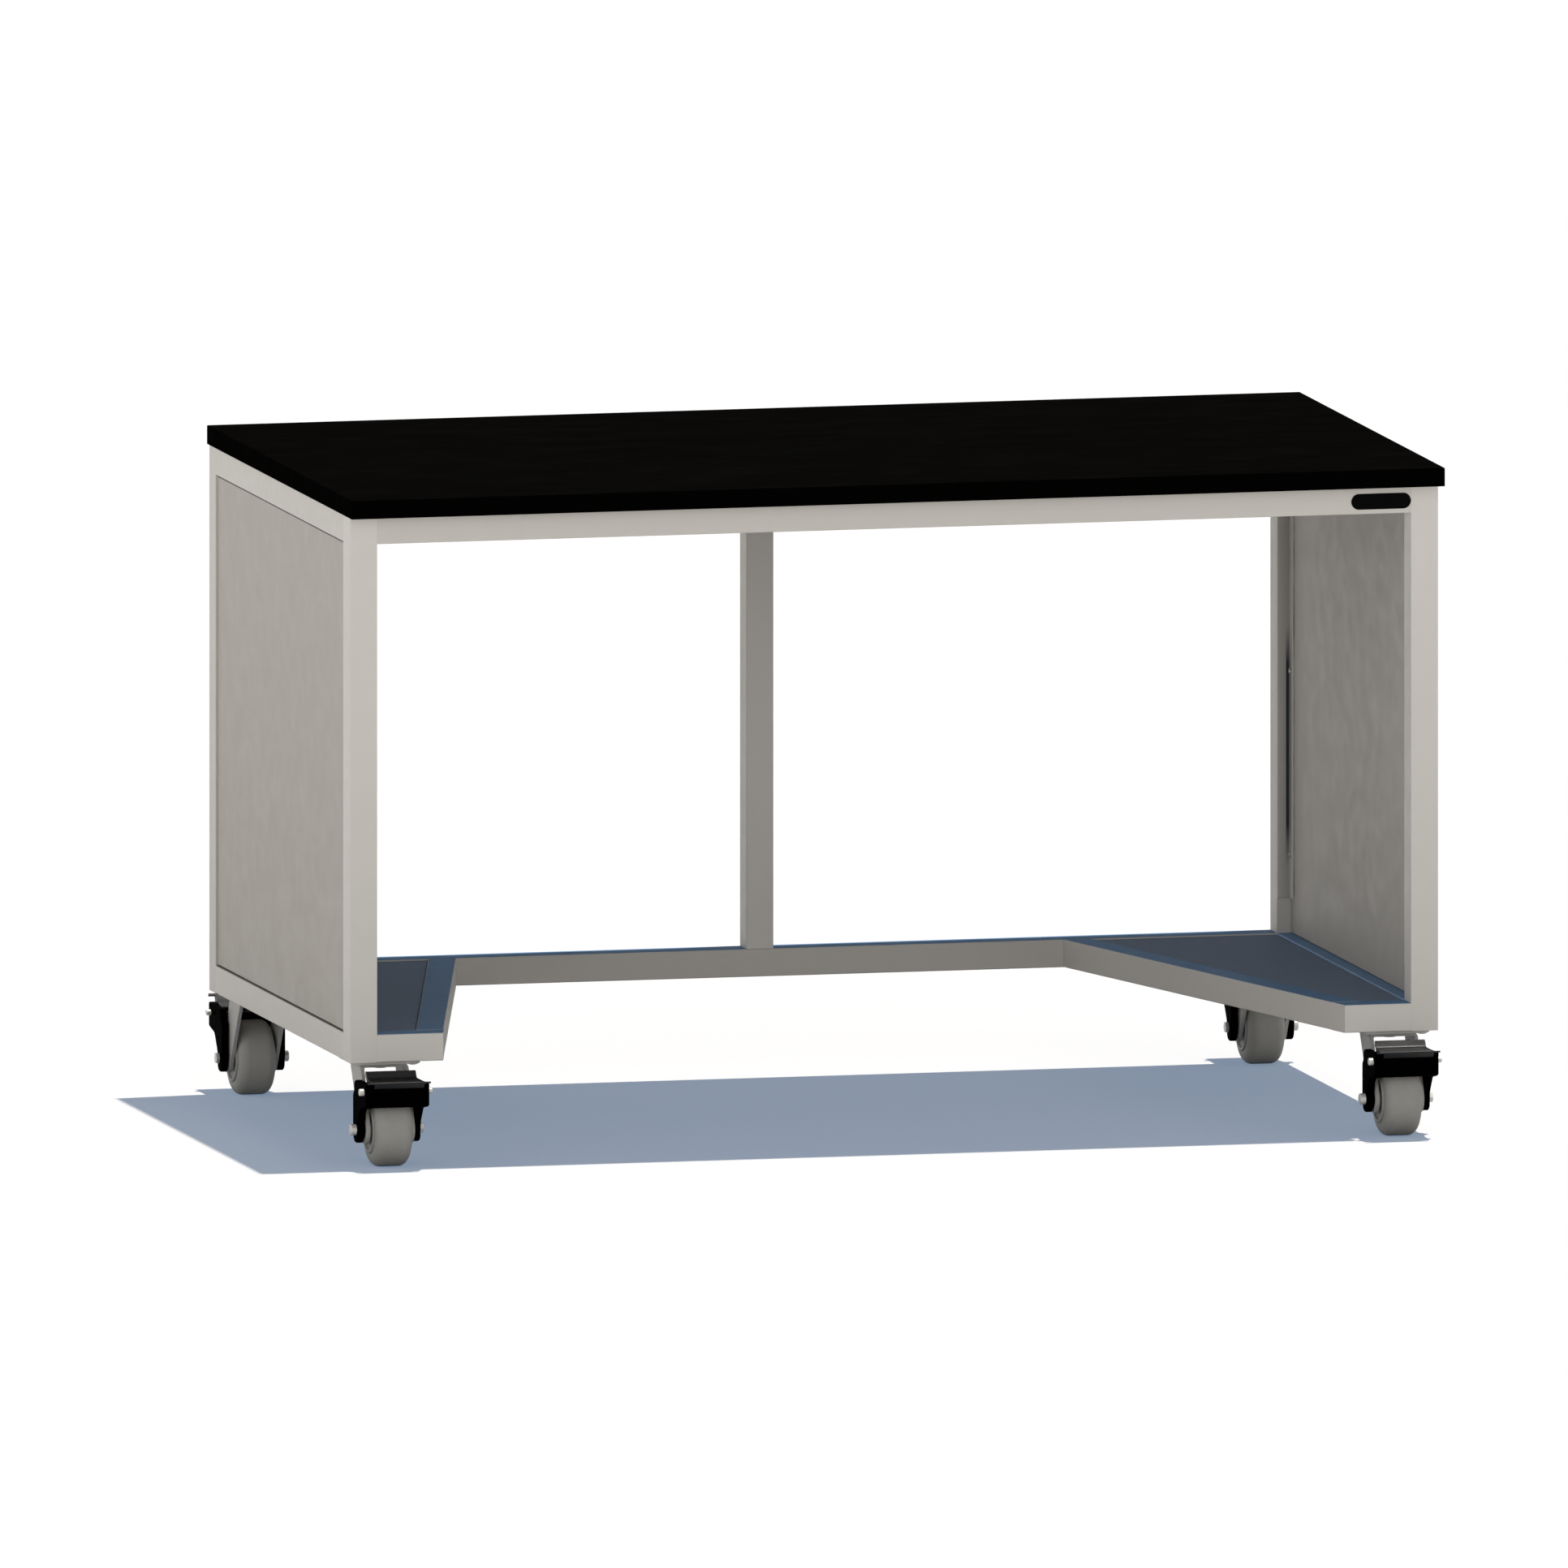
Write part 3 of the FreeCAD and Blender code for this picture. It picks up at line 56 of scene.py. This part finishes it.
# Bands on the CAD solids over which a tint comes in or fades out. Up to the edge bands, the tints
# are painted shade.
# Distances from the bench's middle plane, along X:
ANGLE_SHADE = (0.7200, 0.7345)  # from a panel angle's free edge to near its root
ANGLE_LINE = (0.7318, 0.7334)  # the dark line beside the root
ANGLE_LEG = (0.7366, 0.7368)  # the inner face of the leg that lies on the board
BOARD_JOINT = (0.7388, 0.7391)  # close to where that leg meets the board
BOARD_FACE = (0.7405, 0.7420)  # close to the board's inner face
# Heights, along Z:
ABOVE_DECK = (0.1784, 0.1790)
LINE_START = (0.27, 0.33)
LINE_END = (0.55, 0.60)
UNDER_TOP_RAIL = (0.8478, 0.8484)
# The Z of the surface's direction:
STRAIGHT_UP = (0.75, 0.95)
MOSTLY_UP = (0.5, 0.8)
# X times the X of the surface's direction, which is below 0 where it faces the middle:
FACING_MIDDLE = (-0.3, -0.1)
FACING_OUT = (0.1, 0.3)
# The cosine between the surface's direction and the rounded one, on an edge and beside it:
ON_EDGE = (0.86, 0.995)
EDGE_REACH = 1.6  # how wide the worn band along an edge is, in edge radii

X, Z = 0, 2  # places in a vector's parts


# ---------------------------------------------------------------- node helpers
class Nodes:
    """Small helpers that add nodes to a tree."""

    def __init__(self, tree):
        self.tree = tree

    def node(self, kind, values=None, **settings):
        """A new node with its input values and settings."""
        made = self.tree.nodes.new(kind)
        for name, value in settings.items():
            setattr(made, name, value)
        for name, value in (values or {}).items():
            made.inputs[name].default_value = value
        return made

    def link(self, output, target):
        self.tree.links.new(output, target)

    def spread(self, value, low, high, start=0.3, end=0.7, smooth=False):
        """The value's range start to end mapped to the range low to high."""
        ends = {"From Min": start, "From Max": end, "To Min": low, "To Max": high}
        made = self.node("ShaderNodeMapRange", ends, clamp=True)
        if smooth:
            made.interpolation_type = "SMOOTHSTEP"
        self.link(value, made.inputs["Value"])
        return made.outputs["Result"]

    def past(self, value, band, full=1.0):
        """A factor that rises from 0 to full over a band."""
        return self.spread(value, 0.0, full, *band)

    def short_of(self, value, band):
        """A factor that falls from 1 to 0 over a band."""
        return self.spread(value, 1.0, 0.0, *band)

    def parts(self, vector):
        """The X, Y and Z of a vector."""
        split = self.node("ShaderNodeSeparateXYZ")
        self.link(vector, split.inputs[0])
        return list(split.outputs)

    def normal(self):
        """The X, Y and Z of the surface's direction."""
        return self.parts(self.node("ShaderNodeNewGeometry").outputs["Normal"])

    def combine(self, operation, first, second=None):
        """The result of a Math node on one or two outputs."""
        made = self.node("ShaderNodeMath", operation=operation)
        self.link(first, made.inputs[0])
        if second is not None:
            self.link(second, made.inputs[1])
        return made.outputs[0]

    def both(self, first, second):
        """The product of two factors."""
        return self.combine("MULTIPLY", first, second)

    def seen_directly(self):
        """A factor of 1 for what is seen directly, reflected or through glass, else 0."""
        path = self.node("ShaderNodeLightPath")
        factor = path.outputs["Is Camera Ray"]
        for kind in ("Is Glossy Ray", "Is Transmission Ray"):
            factor = self.combine("MAXIMUM", factor, path.outputs[kind])
        return factor

    def show(self, output, scattered, seen):
        """Join one shader for scattered light and one for what is seen directly to the output."""
        mix = self.node("ShaderNodeMixShader")
        self.link(self.seen_directly(), mix.inputs[0])
        self.link(scattered.outputs[0], mix.inputs[1])
        self.link(seen.outputs[0], mix.inputs[2])
        self.link(mix.outputs[0], self.node(output).inputs["Surface"])


class Finish(Nodes):
    """A procedural material with a Principled shader."""

    def __init__(self, name, color, edge_radius, metallic=0.0, specular=0.5):
        self.material = bpy.data.materials.new(name)
        self.material.use_nodes = True
        super().__init__(self.material.node_tree)
        self.shader = self.tree.nodes["Principled BSDF"]
        self.shader.inputs["Metallic"].default_value = metallic
        self.shader.inputs["Specular IOR Level"].default_value = specular
        self.place = self.node("ShaderNodeTexCoord").outputs["Object"]
        self.color = color
        self.color_out = None
        self.edge_radius = edge_radius
        self.normal_out = self.rounded(edge_radius)

    def noise(self, scale, detail=4.0, rough=0.55, stretch=None):
        """A noise factor; stretch scales its coordinates along X, Y and Z."""
        place = self.place
        if stretch:
            mapping = self.node("ShaderNodeMapping", {"Scale": stretch})
            self.link(place, mapping.inputs["Vector"])
            place = mapping.outputs["Vector"]
        values = {"Scale": scale, "Detail": detail, "Roughness": rough}
        made = self.node("ShaderNodeTexNoise", values)
        self.link(place, made.inputs["Vector"])
        return made.outputs["Fac"]

    def tint(self, factor, color):
        """Mix a colour over what the material has so far."""
        mix = self.node("ShaderNodeMix", data_type="RGBA")
        ends = {socket.name: socket for socket in mix.inputs if socket.type == "RGBA"}
        ends["B"].default_value = color
        if self.color_out is None:
            ends["A"].default_value = self.color
        else:
            self.link(self.color_out, ends["A"])
        self.link(factor, mix.inputs["Factor"])
        self.color_out = [socket for socket in mix.outputs if socket.type == "RGBA"][0]

    def rounded(self, radius):
        """The surface's direction with its edges rounded, in the shading only."""
        return self.node("ShaderNodeBevel", {"Radius": radius}, samples=6).outputs["Normal"]

    def edges(self):
        """A factor that is high along the piece's edges."""
        dot = self.node("ShaderNodeVectorMath", operation="DOT_PRODUCT")
        self.link(self.rounded(self.edge_radius * EDGE_REACH), dot.inputs[0])
        self.link(self.node("ShaderNodeNewGeometry").outputs["Normal"], dot.inputs[1])
        return self.short_of(dot.outputs["Value"], ON_EDGE)

    def bump(self, factor, distance, strength):
        """Raise the surface by the factor."""
        made = self.node("ShaderNodeBump", {"Strength": strength, "Distance": distance})
        self.link(factor, made.inputs["Height"])
        self.link(self.normal_out, made.inputs["Normal"])
        self.normal_out = made.outputs["Normal"]

    def done(self, rough_factor, smoothest, roughest):
        """Join the colour, roughness and normal to the shader."""
        self.link(self.color_out, self.shader.inputs["Base Color"])
        rough = self.spread(rough_factor, smoothest, roughest)
        self.link(rough, self.shader.inputs["Roughness"])
        self.link(self.normal_out, self.shader.inputs["Normal"])
        return self.material


# ---------------------------------------------------------------- painted shade on single places
def shade_blue_on_top(paint):
    """Painted shade: blue grey on the faces that look straight up, for the bluish shade under the
    worktop.
    """
    paint.tint(paint.past(paint.normal()[Z], STRAIGHT_UP), SHADE_BLUE)


def shade_blue_lip(paint):
    """Painted shade: blue grey on the narrow inner face of a side rail that stands above its
    deck.
    """
    place = paint.parts(paint.place)
    inward = paint.short_of(paint.both(place[X], paint.normal()[X]), FACING_MIDDLE)
    paint.tint(paint.both(inward, paint.past(place[Z], ABOVE_DECK)), SHADE_BLUE)


def groove_shade_line(paint):
    """Painted shade: a dark line on top of a side rail, on the ledge that shows outside its
    board.
    """
    across = paint.combine("ABSOLUTE", paint.parts(paint.place)[X])
    looks_up = paint.past(paint.normal()[Z], MOSTLY_UP)
    paint.tint(paint.both(paint.past(across, BOARD_FACE), looks_up), GROOVE_SHADE)


def angle_shade(paint):
    """Painted shade: a panel angle darkened towards its root, with a dark line there and dark
    dashes at the board.
    """
    place = paint.parts(paint.place)
    across = paint.combine("ABSOLUTE", place[X])
    inside = paint.short_of(across, ANGLE_LEG)
    paint.tint(paint.both(inside, paint.spread(across, 0.16, 0.42, *ANGLE_SHADE)), DEEP_SHADE)
    line = paint.both(paint.past(across, ANGLE_LINE), inside)
    length = paint.both(paint.past(place[Z], LINE_START), paint.short_of(place[Z], LINE_END))
    paint.tint(paint.both(line, length), DEEP_SHADE)
    dashes = paint.spread(paint.noise(14.0, 3.0, 0.6, (0.0, 0.0, 1.0)), 0.25, 0.95, 0.45, 0.62)
    paint.tint(paint.both(paint.past(across, BOARD_JOINT), dashes), DEEP_SHADE)


def shade_line_under_rail(board):
    """Painted shade: a dark line along the top of a board's outer face, under the top rail."""
    place = board.parts(board.place)
    outward = board.past(board.both(place[X], board.normal()[X]), FACING_OUT)
    board.tint(board.both(outward, board.past(place[Z], UNDER_TOP_RAIL, 0.75)), DEEP_SHADE)


# ---------------------------------------------------------------- finishes
def powder_coat(name, color, roughness=0.46, specular=0.35, painted_shades=()):
    """Sprayed and baked paint: a slow drift in tone, fine orange peel, edges rubbed lighter.

    The functions in the last argument paint shade onto it.
    """
    paint = Finish(name, color, 0.0009, specular=specular)
    paint.tint(paint.spread(paint.noise(3.1, 3.0), 0.0, 0.55), shade(color, 0.955))
    paint.tint(paint.spread(paint.noise(46.0, 5.0), 0.0, 0.35), shade(color, 1.035))
    scuffs = paint.noise(22.0, 8.0, 0.7, stretch=(1.0, 1.0, 6.0))
    paint.tint(paint.spread(scuffs, 0.0, 0.22, 0.63, 0.72), shade(color, 0.82))
    paint.tint(paint.spread(paint.edges(), 0.0, 0.16, 0.0, 1.0), shade(color, 1.16))
    for painted_shade in painted_shades:
        painted_shade(paint)
    paint.bump(paint.noise(620.0, 2.0), 0.00005, 0.6)
    return paint.done(paint.noise(70.0, 6.0), roughness - 0.06, roughness + 0.08)


def laminate(name, color):
    """Board faced in matt laminate: a fine pebble grain, slight smudges and painted shade under
    the top rail.
    """
    board = Finish(name, color, 0.0006, specular=0.3)
    board.tint(board.spread(board.noise(5.0, 4.0), 0.0, 0.4), shade(color, 0.975))
    board.tint(board.spread(board.noise(900.0, 2.0), 0.0, 0.35), shade(color, 1.06))
    shade_line_under_rail(board)
    board.bump(board.noise(750.0, 3.0), 0.00006, 0.7)
    return board.done(board.noise(30.0, 5.0), 0.48, 0.66)


def resin_slab(name, color):
    """Cast black resin: dense, matt, with faint wipe marks."""
    slab = Finish(name, color, 0.0010, specular=0.0004)
    slab.tint(slab.spread(slab.noise(600.0, 3.0), 0.0, 0.6), shade(color, 1.5))
    wipes = slab.noise(4.0, 6.0, 0.6, stretch=(1.0, 5.0, 1.0))
    slab.tint(slab.spread(wipes, 0.0, 0.5), shade(color, 1.35))
    slab.bump(slab.noise(420.0, 4.0), 0.00004, 0.5)
    return slab.done(slab.noise(9.0, 7.0, 0.6, stretch=(1.0, 4.0, 1.0)), 0.62, 0.82)


def moulded(name, color, roughness, specular, grain_depth=0.00005):
    """Moulded plastic: fine grain, tone drift, edges polished by use."""
    plastic = Finish(name, color, 0.0008, specular=specular)
    plastic.tint(plastic.spread(plastic.noise(38.0, 4.0), 0.0, 0.5), shade(color, 0.86))
    plastic.tint(plastic.spread(plastic.edges(), 0.0, 0.3, 0.0, 1.0), shade(color, 1.35))
    plastic.bump(plastic.noise(900.0, 3.0), grain_depth, 0.7)
    return plastic.done(plastic.noise(120.0, 5.0), roughness - 0.07, roughness + 0.1)


def tread_rubber(name, color):
    """Grey tread compound: matt, slightly dirty where it rolls."""
    rubber = Finish(name, color, 0.0010, specular=0.3)
    rubber.tint(rubber.spread(rubber.noise(60.0, 6.0), 0.0, 0.5), shade(color, 0.88))
    rubber.tint(rubber.spread(rubber.noise(260.0, 4.0), 0.0, 0.4), shade(color, 1.07))
    rubber.bump(rubber.noise(520.0, 4.0), 0.00008, 0.7)
    return rubber.done(rubber.noise(90.0, 4.0), 0.58, 0.8)


def plated(name, color, roughness, metallic=0.85):
    """Zinc plate: soft cloudy reflections with fine rolling marks."""
    zinc = Finish(name, color, 0.0006, metallic=metallic)
    zinc.tint(zinc.spread(zinc.noise(90.0, 5.0), 0.0, 0.6), shade(color, 0.85))
    zinc.bump(zinc.noise(700.0, 3.0, 0.5, stretch=(1.0, 1.0, 0.15)), 0.00003, 0.6)
    return zinc.done(zinc.noise(150.0, 5.0), roughness - 0.08, roughness + 0.12)


# By the record's material slot.
slot_finishes = {
    "frame_paint": powder_coat("frame_powder_coat", BEIGE),
    # Painted shade: the deck's blue grey stands for the bluish shade under the worktop.
    "deck_paint": powder_coat(
        "deck_shade_blue_powder_coat", linear(129, 143, 163), roughness=0.62, specular=0.004
    ),
    "side_board": laminate("side_board_laminate", linear(168, 162, 153)),
    "worktop_slab": resin_slab("black_resin_slab", linear(2.2, 1.9, 1.6)),
    "badge_black": moulded("badge_plate_black", linear(5, 5, 5), roughness=0.45, specular=0.02),
    "screw_steel": plated("screw_zinc", linear(170, 169, 165), roughness=0.42),
    "caster_steel": plated("caster_zinc", linear(174, 171, 165), roughness=0.55, metallic=0.1),
    "plated_steel": plated("bright_zinc", linear(214, 211, 204), roughness=0.36, metallic=0.3),
    "brake_black": moulded(
        "brake_black_moulding", linear(1.5, 1.5, 1.5), roughness=0.4, specular=0.0004
    ),
    "tyre_grey": tread_rubber("tread_compound", linear(157, 154, 147)),
    "hub_grey": moulded("hub_moulding", linear(150, 147, 141), roughness=0.5, specular=0.3),
}
# Painted shade on the top rails and the rear posts.
shaded_frame = powder_coat("dull_frame_powder_coat", SHADED_BEIGE)
# Painted shade on the rear rail: the darker beige, with blue grey on its top.
rear_rail = powder_coat(
    "rear_rail_powder_coat", SHADED_BEIGE, roughness=0.56, specular=0.01, painted_shades=[shade_blue_on_top]
)
# Painted light and shade on the foot and diagonal rails: the lighter beige, with blue grey on
# their tops.
lower_rail = powder_coat(
    "lower_rail_powder_coat", LIT_BEIGE, roughness=0.56, specular=0.01, painted_shades=[shade_blue_on_top]
)
# Painted light and shade on the side rails: the lighter beige, blue grey on the tops and the
# inner lip, and a dark line beside the board.
side_rail = powder_coat(
    "side_rail_powder_coat",
    LIT_BEIGE,
    roughness=0.5,
    specular=0.1,
    painted_shades=[shade_blue_on_top, shade_blue_lip, groove_shade_line],
)
# Painted shade on the panel angles, towards their roots.
panel_angle = powder_coat("panel_angle_powder_coat", BEIGE, painted_shades=[angle_shade])
pedal_black = moulded(
    "pedal_black_moulding", linear(2, 2, 2), roughness=0.36, specular=0.24, grain_depth=0.000008
)

# By the ending of the node's name, in place of the slot's finish.
own_finishes = {
    "left_bottom_rail": side_rail,
    "right_bottom_rail": side_rail,
    "rear_bottom_rail": rear_rail,
    "top_rail": shaded_frame,
    "rear_left_post": shaded_frame,
    "rear_right_post": shaded_frame,
    "panel_angles": panel_angle,
    "foot_rail": lower_rail,
    "diagonal_rail": lower_rail,
    "brake_pedal": pedal_black,
}
for entry in frame["record"]["subparts"]:
    node_name = entry["node"]
    own = [finish for ending, finish in own_finishes.items() if node_name.endswith(ending)]
    materials = nodes[node_name].data.materials
    materials.clear()
    materials.append(own[0] if own else slot_finishes[entry["material_slot"]])


# ---------------------------------------------------------------- floor and light
FLOOR_PAINT = (0.61, 0.57, 0.51, 1)
FLOOR_IN_SHADOW = (0.125, 0.185, 0.282, 1)
SKY = (0.94, 0.965, 1.0, 1)
WHITE = (1, 1, 1, 1)
BRIGHT_SIDE = (-0.4, -0.9, 0.0)  # the sky's bright side, front left


def make_floor():
    """A wide pale floor: white in full light, blue grey in the bench's shadow.

    Light that it scatters onto the bench is weaker near the bench than further out.
    """
    half = 40.0
    corners = [(-half, -half, 0), (half, -half, 0), (half, half, 0), (-half, half, 0)]
    mesh = bpy.data.meshes.new("floor")
    mesh.from_pydata(corners, [], [(0, 1, 2, 3)])
    floor = bpy.data.objects.new("floor", mesh)
    bpy.context.scene.collection.objects.link(floor)
    material = bpy.data.materials.new("studio_floor")
    material.use_nodes = True
    material.node_tree.nodes.clear()
    made = Nodes(material.node_tree)
    away = made.node("ShaderNodeVectorMath", operation="LENGTH")
    made.link(made.node("ShaderNodeTexCoord").outputs["Object"], away.inputs[0])
    level = made.spread(
        away.outputs["Value"], low=0.2, high=0.85, start=0.6, end=2.4, smooth=True
    )
    bounce = made.node("ShaderNodeBsdfDiffuse")
    made.link(level, bounce.inputs["Color"])
    lit = made.node("ShaderNodeBsdfDiffuse", {"Color": FLOOR_PAINT})
    glow = made.node("ShaderNodeEmission", {"Color": FLOOR_IN_SHADOW})
    surface = made.node("ShaderNodeAddShader")
    made.link(lit.outputs[0], surface.inputs[0])
    made.link(glow.outputs[0], surface.inputs[1])
    made.show("ShaderNodeOutputMaterial", bounce, surface)
    mesh.materials.append(material)


def make_world():
    """A sky that lights from low down, mostly from the front left, and is white where seen."""
    world = bpy.data.worlds.new("studio")
    bpy.context.scene.world = world
    world.use_nodes = True
    world.node_tree.nodes.clear()
    made = Nodes(world.node_tree)
    direction = made.node("ShaderNodeTexCoord").outputs["Generated"]
    toward = made.node("ShaderNodeVectorMath", operation="DOT_PRODUCT")
    toward.inputs[1].default_value = BRIGHT_SIDE
    made.link(direction, toward.inputs[0])
    by_side = made.spread(toward.outputs["Value"], low=0.14, high=0.78, start=-1.0, end=1.0)
    by_height = made.spread(
        made.parts(direction)[Z], low=2.35, high=0.12, start=0.0, end=0.88, smooth=True
    )
    sky = made.node("ShaderNodeBackground", {"Color": SKY})
    made.link(made.both(by_side, by_height), sky.inputs["Strength"])
    white = made.node("ShaderNodeBackground", {"Color": WHITE, "Strength": 1.0})
    made.show("ShaderNodeOutputWorld", sky, white)


def add_sun(name, travel, strength, angle, color):
    """A sun lamp whose light travels along a direction; its angle is in degrees."""
    lamp = bpy.data.lights.new(name, "SUN")
    lamp.energy = strength
    lamp.angle = math.radians(angle)
    lamp.color = color
    holder = bpy.data.objects.new(name, lamp)
    holder.rotation_euler = Vector(travel).to_track_quat("-Z", "Y").to_euler()
    bpy.context.scene.collection.objects.link(holder)


make_floor()
make_world()
add_sun("key", travel=(-130, -13, -914), strength=3.9, angle=0.7, color=(1.0, 0.98, 0.95))

# ---------------------------------------------------------------- camera
AZIMUTH, ELEVATION = math.radians(-13.57), math.radians(7.26)
PIXELS, PIXELS_PER_METRE = 1932, 909.2
MIDDLE_RIGHT, MIDDLE_UP = -0.05385, 0.44802  # the picture's middle, along right and up
DISTANCE, FARTHEST = 12, 100
right = Vector((math.cos(AZIMUTH), math.sin(AZIMUTH), 0))
back = Vector((
    math.sin(AZIMUTH) * math.cos(ELEVATION),
    -math.cos(AZIMUTH) * math.cos(ELEVATION),
    math.sin(ELEVATION),
))
up = back.cross(right)
place = right * MIDDLE_RIGHT + up * MIDDLE_UP + back * DISTANCE
lens = bpy.data.cameras.new("camera")
lens.type = "ORTHO"
lens.ortho_scale = PIXELS / PIXELS_PER_METRE
lens.clip_end = FARTHEST
camera = bpy.data.objects.new("camera", lens)
camera.matrix_world = Matrix.Translation(place) @ Matrix((right, up, back)).transposed().to_4x4()
bpy.context.scene.collection.objects.link(camera)
bpy.context.scene.camera = camera
bpy.context.scene.view_settings.view_transform = "Standard"
